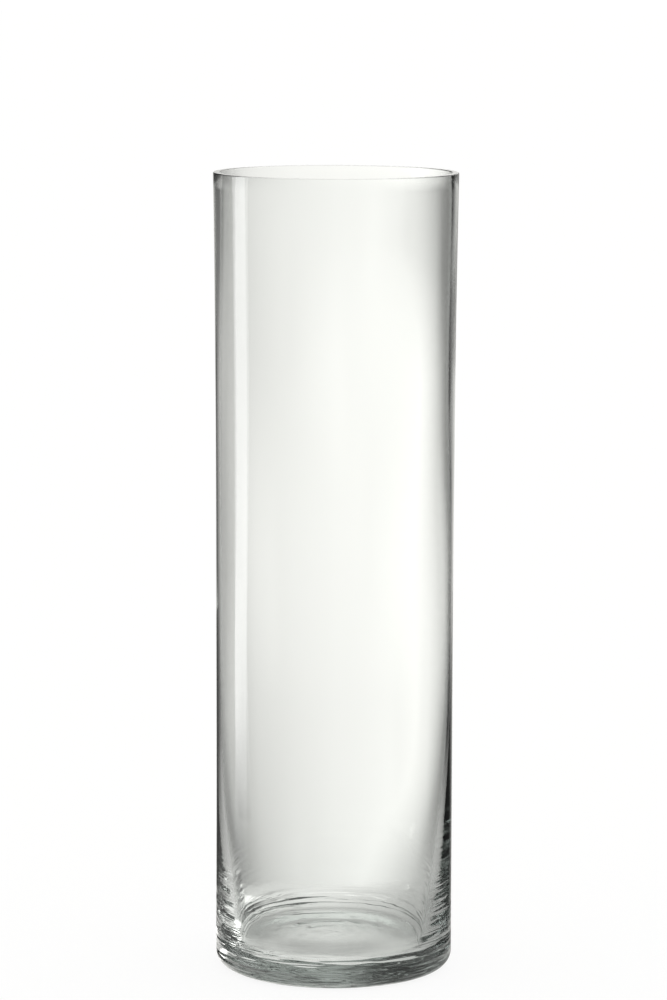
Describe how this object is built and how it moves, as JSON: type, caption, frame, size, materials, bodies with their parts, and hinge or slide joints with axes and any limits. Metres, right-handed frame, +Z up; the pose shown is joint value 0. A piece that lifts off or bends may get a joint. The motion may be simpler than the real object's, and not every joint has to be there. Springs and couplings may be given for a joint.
{
  "type": "glass cylinder vase",
  "caption": "Tall clear glass cylinder vase with a heavy rounded base, thin straight wall and slightly flared mouth, for cut flowers and table centrepieces.",
  "frame": {"origin": "centre of the foot, in the plane of the flat ring that the vase stands on", "axes": "+Z up along the axis of the cylinder, from the foot to the mouth; +X and +Y are any two level directions, because the vase is round"},
  "size_m": [0.152, 0.152, 0.5],
  "materials": {
    "clear_glass": "clear, polished, with a faint cool green-grey tint in the thick base"
  },
  "bodies": {
    "root": {"cylinder_wall": "clear_glass", "thick_base": "clear_glass"}
  },
  "joints": []
}
